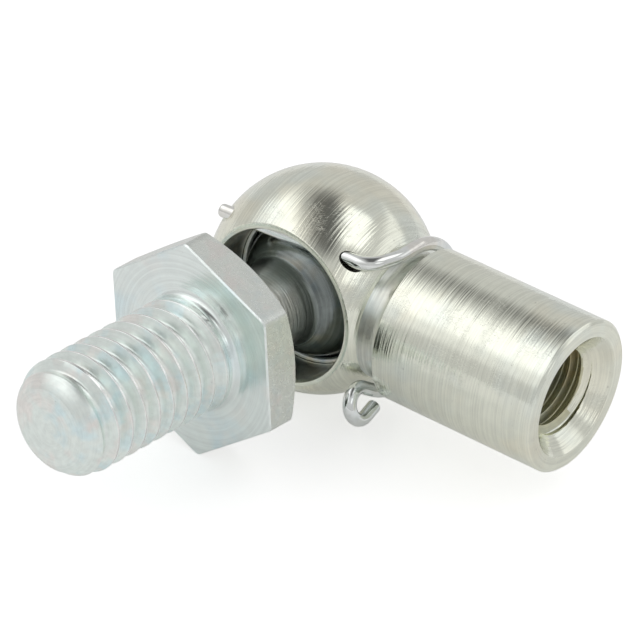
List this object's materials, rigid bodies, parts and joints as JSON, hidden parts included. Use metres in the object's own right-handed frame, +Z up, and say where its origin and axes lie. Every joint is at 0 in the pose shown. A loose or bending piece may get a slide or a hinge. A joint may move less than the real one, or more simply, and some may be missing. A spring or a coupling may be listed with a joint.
{
  "type": "angle ball joint",
  "caption": "Angle ball joint: a threaded ball stud with a hexagon swivels in a ball socket with a tapped shank, secured by a spring wire clip.",
  "frame": {"origin": "where the rod thread in the shank starts, at the foot of its countersink, on the shank's axis", "axes": "+X out of the shank along the rod thread, -Y out of the mouth of the socket where the stud stands, +Z up, to the side where the clip's leg crosses the head"},
  "size_m": [0.028, 0.0333, 0.0152],
  "materials": {
    "socket_zinc": "bright zinc plating over turned steel",
    "stud_zinc": "bluish zinc plating over turned steel",
    "clip_wire": "bright drawn spring wire",
    "ring_wire": "dark spring steel"
  },
  "bodies": {
    "socket": {"ball_socket": "socket_zinc", "safety_clip": "clip_wire"},
    "ring": {"retaining_ring": "ring_wire"},
    "stud": {"ball_stud": "stud_zinc"}
  },
  "joints": [
    {"name": "ring_spin", "type": "hinge", "parent": "socket", "child": "ring", "pos_m": [-0.0186, 0, 0], "axis": [0, -1, 0], "continuous": true},
    {"name": "stud_tilt", "type": "hinge", "parent": "ring", "child": "stud", "pos_m": [-0.0186, 0, 0], "axis": [0.2865, 0, -0.9581], "range_deg": [-18.16, 9.85]}
  ]
}
